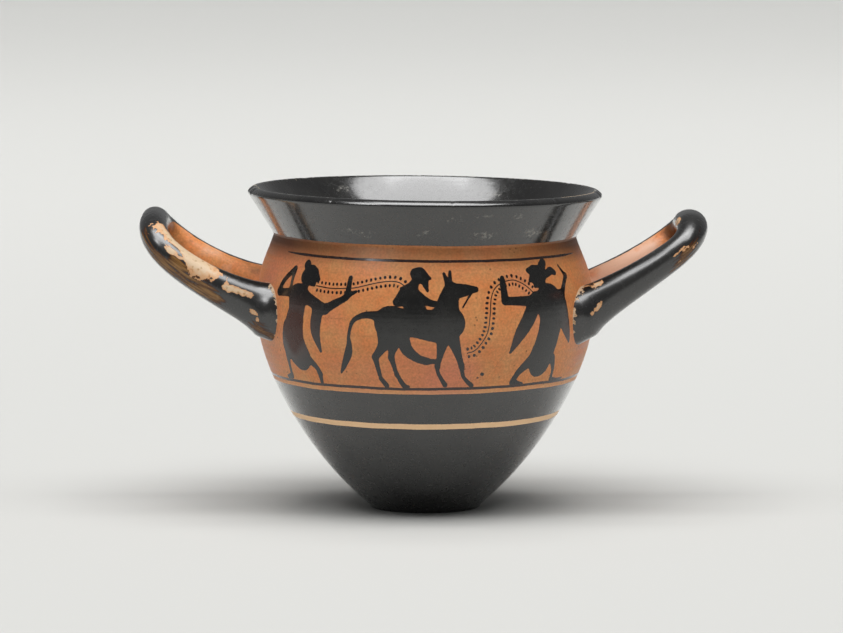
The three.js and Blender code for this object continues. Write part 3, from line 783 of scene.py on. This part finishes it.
def paintedClay():  # the thrown wall: burnished clay with bands, figures and vines in black slip
    material, shader, add = newMaterial("burnishedClayWithBlackSlip")
    coords = add("TexCoord", out="Object")
    read = {name: add("Attribute", out="Fac", attribute_name=name)
            for name in ("wheelHeight", "figureEdge", "vineAcross", "vineAlong", "thinSlip", "lineEnd",
                         "scuff", "lipWear")}
    waver, quiver = (
        add("TexNoise", {"Vector": coords, "Scale": perMetre / brushwork[size], "Detail": detail})
        for size, detail in (("waver", 1.0), ("quiver", 2.0)))
    painted = add("Math", [waver, bands["waver"], read["wheelHeight"]], "MULTIPLY_ADD")
    painted = add("Math", [painted, bands["waver"] / 2], "SUBTRACT")
    share = add("Math", [painted, bands["top"]], "DIVIDE")
    ramp = material.node_tree.nodes.new("ShaderNodeValToRGB")
    material.node_tree.links.new(share, ramp.inputs["Fac"])
    ramp.color_ramp.interpolation = "CONSTANT"
    ramp.color_ramp.elements.remove(ramp.color_ramp.elements[1])
    ramp.color_ramp.elements[0].color = (1, 1, 1, 1)
    for low, high in bands["slip"]:
        if low > 0:
            ramp.color_ramp.elements.new(low / bands["top"]).color = (1, 1, 1, 1)
        if high < bands["top"]:
            ramp.color_ramp.elements.new(high / bands["top"]).color = (0, 0, 0, 1)
    # the thin line over the figures, drawn out to nothing at its ends
    lineWidth = add("MapRange", [read["lineEnd"], -upperLine["taper"], 0.0, upperLine["half"],
                                 upperLine["tipHalf"]])
    onLine = add("Math", [painted, upperLine["height"], lineWidth], "COMPARE")
    lineShort = add("Math", [read["lineEnd"], 0.0], "LESS_THAN")
    line = add("Math", [onLine, lineShort], "MULTIPLY")
    edge = add("Math", [quiver, brushwork["figureQuiver"], read["figureEdge"]], "MULTIPLY_ADD")
    figure = add("MapRange", [edge, *brushwork["figureFrom"]])
    # a vine is a stem with a dot for each leaf on either side
    aside = add("Math", [read["vineAcross"]], "ABSOLUTE")
    stem = add("Math", [aside, vine["stemHalf"]], "LESS_THAN")
    step = add("Math", [read["vineAlong"], vine["leafSpacing"]], "DIVIDE")
    phase = add("Math", [step], "FRACT")
    leafAlong = add("Math", [phase, 0.5], "SUBTRACT")
    leafAlong = add("Math", [leafAlong, vine["leafSpacing"] / vine["leafAlong"]], "MULTIPLY")
    leafAcross = add("Math", [aside, vine["leafOff"]], "SUBTRACT")
    leafAcross = add("Math", [leafAcross, vine["leafAcross"]], "DIVIDE")
    place = add("CombineXYZ", {"X": leafAlong, "Y": leafAcross})
    off = add("VectorMath", [place], "LENGTH", out="Value")
    rounded = add("Math", [quiver, brushwork["leafQuiver"], off], "MULTIPLY_ADD")
    leaf = add("Math", [rounded, brushwork["leafEdge"]], "LESS_THAN")
    covered = ramp.outputs["Color"]
    for mark in (line, figure, stem, leaf):
        covered = add("Math", [covered, mark], "MAXIMUM")
    # the lip is worn to bare clay in places
    wearSum = add("Math", [quiver, brushwork["lipQuiver"], read["lipWear"]], "MULTIPLY_ADD")
    bareLip = add("MapRange", [wearSum, *brushwork["lipBareFrom"]])
    keptLip = add("Math", [1.0, bareLip], "SUBTRACT")
    covered = add("Math", [covered, keptLip], "MULTIPLY")
    # slip is thin at the edges of the figures, in the fine lines and where it was brushed out
    thin = add("MapRange", [edge, *brushwork["edgeThin"]])
    ground = add("Math", [read["wheelHeight"], bands["groundLine"], bands["groundHalf"]], "COMPARE")
    fineLine = add("Math", [ground, line], "MAXIMUM")
    lineThin = add("Math", [fineLine, brushwork["lineThin"]], "MULTIPLY")
    for mark in (lineThin, read["thinSlip"]):
        thin = add("Math", [thin, mark], "MAXIMUM")
    onFrieze = add("Math", [read["wheelHeight"], bands["friezeMiddle"], bands["friezeHalf"]], "COMPARE")
    thin = add("Math", [thin, onFrieze], "MULTIPLY")
    # rubbed marks, and the painted highlight along the lip's crest, are thin and broken
    marks = add("TexNoise", {"Vector": coords, "Scale": perMetre / brushwork["rubbedAndHighlightMarks"], "Detail": 5.0,
                             "Roughness": 0.7})
    marked = add("Math", [read["scuff"], brushwork["rubbedAndHighlightShare"], marks], "MULTIPLY_ADD")
    rubbedAndHighlight = add("MapRange", [marked, *brushwork["rubbedAndHighlightFrom"]])
    glaze = slipColour(add, coords, thin, toLinear(slip["brown"]))
    glaze = add("Mix", {"Factor": rubbedAndHighlight, 6: glaze, 7: toLinear(slip["rubbedAndHighlight"])}, **colourMix)
    # umber under the rim: a darker wash, with painted shade from the rim's overhang that deepens towards the
    # handles
    umberShadeMost = add("MapRange", [read["lineEnd"], -bands["umberShadeFade"], 0.0, *bands["umberShadeMost"]])
    umberShade, pale = (add("MapRange", [read["wheelHeight"], *bands[name], 0.0, most])
                   for name, most in (("umberShade", umberShadeMost), ("pale", 1.0)))
    streaks = turningStreaks(add, coords)
    bare = clayColour(add, coords, streaks)
    for share, name in ((umberShade, "umberShade"), (pale, "pale"), (bareLip, "lip")):
        bare = add("Mix", {"Factor": share, 6: bare, 7: toLinear(clay[name])}, **colourMix)
    dull = add("Math", [onFrieze, slip["friezeDull"]], "MULTIPLY")
    for mark in (rubbedAndHighlight, thin):
        dull = add("Math", [dull, mark], "MAXIMUM")
    firedFinish(add, shader, coords, bare, glaze, covered, dull, streaks, slip["skinRoughness"])
    return material


# Handles: the same slip, flaked off in patches down to pale unburnished clay and brushed thin underneath;
# blush paints a sheen on the inner faces
wornHandle = {"peach": "#d09b6c", "cream": "#d2b898", "ochre": "#946d3e", "blush": "#dab096",
              "fineFlake": 1.3, "coarseFlake": 4.5, "fineRagged": 1.4, "coarseRagged": 0.5,
              "fineJoint": 6.0, "coarseJoint": 3.0, "jointRise": 1.1, "reserveWaver": 1.6,
              "armStretch": (0.09, 4.0, 4.0), "armStreak": 1.6, "streakThin": 2.4, "flakedFrom": (1.43, 1.46),
              "jointFrom": (4.65, 4.55), "reserveFrom": (0.7, 0.85), "thinFrom": (1.74, 1.95),
              "ochreFrom": (1.85, 2.45), "creamFrom": (1.5, 2.1), "dirt": (0.42, 0.3, 0.0, 0.7),
              "paleSheenPatches": (0.45, 0.9, 0.0, 0.9), "loopShadePatches": (0.35, -0.1, 0.0, 0.85)}


def wornSlip():
    material, shader, add = newMaterial("flakedBlackSlip")
    coords = add("TexCoord", out="Object")
    read = {name: add("Attribute", out="Fac", attribute_name=name) for name in [*onArm, "rootGap"]}
    coarse, fine = (
        add("TexNoise", {"Vector": coords, "Scale": perMetre / wornHandle[size], "Detail": detail})
        for size, detail in (("coarseFlake", 3.0), ("fineFlake", 4.0)))
    # ragged flakes, and chips along the joint with the wall
    ragged, jointNear = read["handleFlake"], read["rootGap"]
    for pattern, size in ((coarse, "coarseRagged"), (fine, "fineRagged")):
        ragged = add("Math", [pattern, wornHandle[size], ragged], "MULTIPLY_ADD")
    flaked = add("MapRange", [ragged, *wornHandle["flakedFrom"]])
    for pattern, size in ((fine, wornHandle["fineJoint"]), (coarse, wornHandle["coarseJoint"]),
                          (read["handleUp"], -wornHandle["jointRise"])):
        jointNear = add("Math", [pattern, size, jointNear], "MULTIPLY_ADD")
    jointChip = add("MapRange", [jointNear, *wornHandle["jointFrom"]])
    bareShare = add("Math", [flaked, jointChip], "MAXIMUM")
    reserveEdge = add("Math", [coarse, wornHandle["reserveWaver"], read["handleReserve"]], "MULTIPLY_ADD")
    reserve = add("MapRange", [reserveEdge, *wornHandle["reserveFrom"]])
    uncovered = add("Math", [bareShare, reserve], "MAXIMUM")
    covered = add("Math", [1.0, uncovered], "SUBTRACT")
    # streaks run along the arm where the slip was brushed thin
    armPlace = add("CombineXYZ", {"X": read["handleAlong"], "Y": read["handleUp"], "Z": read["handleOut"]})
    armScaled = add("Mapping", {"Vector": armPlace, "Scale": wornHandle["armStretch"]})
    armStreak = add("TexNoise", {"Vector": armScaled, "Scale": wornHandle["armStreak"], "Detail": 5.0})
    thinSum = add("Math", [armStreak, wornHandle["streakThin"], read["handleThin"]], "MULTIPLY_ADD")
    thin = add("MapRange", [thinSum, *wornHandle["thinFrom"]])
    ochreShare = add("MapRange", [thinSum, *wornHandle["ochreFrom"]])
    thinColour = add("Mix", {"Factor": ochreShare, 6: toLinear(slip["brown"]),
                             7: toLinear(wornHandle["ochre"])}, **colourMix)
    glaze = slipColour(add, coords, thin, thinColour)
    # flaked places are peach where shallow, cream where deep, and dirty in spots
    creamShare = add("MapRange", [ragged, *wornHandle["creamFrom"]])
    creamShare = add("Math", [creamShare, jointChip], "MAXIMUM")
    dirt = add("MapRange", [fine, *wornHandle["dirt"]])
    flake = toLinear(wornHandle["peach"])
    for share, name in ((creamShare, "cream"), (dirt, "ochre")):
        flake = add("Mix", {"Factor": share, 6: flake, 7: toLinear(wornHandle[name])}, **colourMix)
    # the reserved inner face is clay, paler in patches with a painted sheen, and darkened deep in the loop
    # with painted shade
    paleSheenShadeSum = add("Math", [coarse, read["handlePaleSheenAndShade"]], "ADD")
    paleSheenShare = add("MapRange", [paleSheenShadeSum, *wornHandle["paleSheenPatches"]])
    loopShade = add("MapRange", [paleSheenShadeSum, *wornHandle["loopShadePatches"]])
    bare = clayColour(add, coords, armStreak)
    for share, colour in ((paleSheenShare, toLinear(wornHandle["blush"])), (loopShade, toLinear(clay["umberShade"])),
                          (bareShare, flake)):
        bare = add("Mix", {"Factor": share, 6: bare, 7: colour}, **colourMix)
    firedFinish(add, shader, coords, bare, glaze, covered, thin, armStreak, slip["handleSkinRoughness"])
    return material


cup.data.materials.clear()
for material in (paintedClay(), wornSlip()):
    cup.data.materials.append(material)
faceMiddles = np.empty(len(cup.data.polygons) * 3)
cup.data.polygons.foreach_get("center", faceMiddles)
faceMiddles = faceMiddles.reshape(-1, 3) * 1000
faceHeights = faceMiddles[:, 2] + rimDrop(faceMiddles, faceMiddles[:, 2])
faceGap = np.hypot(faceMiddles[:, 0], faceMiddles[:, 1]) - np.interp(faceHeights, rising[:, 1], rising[:, 0])
onHandle = ((faceGap > handleZone["gap"]) & (np.abs(faceMiddles[:, 0]) > handleZone["faceReach"])
            & (faceHeights > handleZone["height"]))
cup.data.polygons.foreach_set("material_index", onHandle.astype(np.int32))
cup.data.update()
print("slip painted:", int(onHandle.sum()), "faces on the handles")

sharpAngle = 32  # edges sharper than this stay sharp
only(cup)
bpy.ops.object.shade_smooth_by_angle(angle=math.radians(sharpAngle))
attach(cup, "root")
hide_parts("cup")

camera = {"place": (-1.1, -1612.0, 233.0), "pitch": 6.1225, "lens": 220.1, "sensor": 36.0, "farthest": 50.0}
bpy.ops.object.camera_add(location=[v / 1000 for v in camera["place"]],
                          rotation=(math.radians(90 - camera["pitch"]), 0, 0))
view = bpy.context.object
view.data.lens = camera["lens"]
view.data.sensor_width = camera["sensor"]
view.data.clip_end = camera["farthest"]
bpy.context.scene.camera = view

# Plain pale floor of matte paper, which takes soft shadows and no reflections; places and sizes in metres
paperFloor = {"size": 40.0, "colour": "#c5c5c2", "roughness": 0.9, "specular": 0.1}
bpy.ops.object.select_all(action="DESELECT")
bpy.ops.mesh.primitive_plane_add(size=paperFloor["size"])
floor = bpy.context.object
floor.name = "floor"
paper, paperShader = newMaterial("mattePaper")[:2]
paperShader.inputs["Base Color"].default_value = toLinear(paperFloor["colour"])
paperShader.inputs["Roughness"].default_value = paperFloor["roughness"]
paperShader.inputs["Specular IOR Level"].default_value = paperFloor["specular"]
floor.data.materials.append(paper)

# Soft studio light: two panels overhead, a strip for gloss alone, and a lamp behind for matt alone
lights = {
    "overheadBank": {"place": (0.03, -0.7, 2.4), "aim": (0.0, 0.0, 0.06), "size": (3.1, 1.5),
                     "watts": 80.0, "spread": 180.0, "seenBy": "all"},
    "topBox": {"place": (0.0, 0.0, 2.2), "aim": (0.0, 0.0, 0.0), "size": (1.3, 0.7),
               "watts": 8.0, "spread": 180.0, "seenBy": "all"},
    "handleStrip": {"place": (-1.85, -1.8, 2.3), "aim": (-1.85, -1.8, 0.0), "size": (0.9, 1.1),
                    "watts": 28.0, "spread": 180.0, "seenBy": "gloss"},
    "backdropLight": {"place": (0.0, 3.2, 3.6), "aim": (0.0, 3.2, 0.0), "size": (6.0, 5.0),
                      "watts": 80.0, "spread": 50.0, "seenBy": "matt"},
}
for lightName, light in lights.items():
    bpy.ops.object.light_add(type="AREA", location=light["place"])
    lamp = bpy.context.object
    lamp.name = lightName
    lamp.data.shape = "RECTANGLE"
    lamp.data.size, lamp.data.size_y = light["size"]
    lamp.data.energy = light["watts"]
    lamp.data.spread = math.radians(light["spread"])
    lamp.visible_glossy = light["seenBy"] != "matt"
    lamp.visible_diffuse = light["seenBy"] != "gloss"
    lamp.rotation_euler = (Vector(light["aim"]) - lamp.location).to_track_quat("-Z", "Y").to_euler()
studio = {"colour": "#f4f5f6", "strength": 0.19}
world = bpy.data.worlds.new("studio")
bpy.context.scene.world = world
world.use_nodes = True
world.node_tree.nodes["Background"].inputs["Color"].default_value = toLinear(studio["colour"])
world.node_tree.nodes["Background"].inputs["Strength"].default_value = studio["strength"]
bpy.context.scene.view_settings.view_transform = "Standard"
print("studio lit")
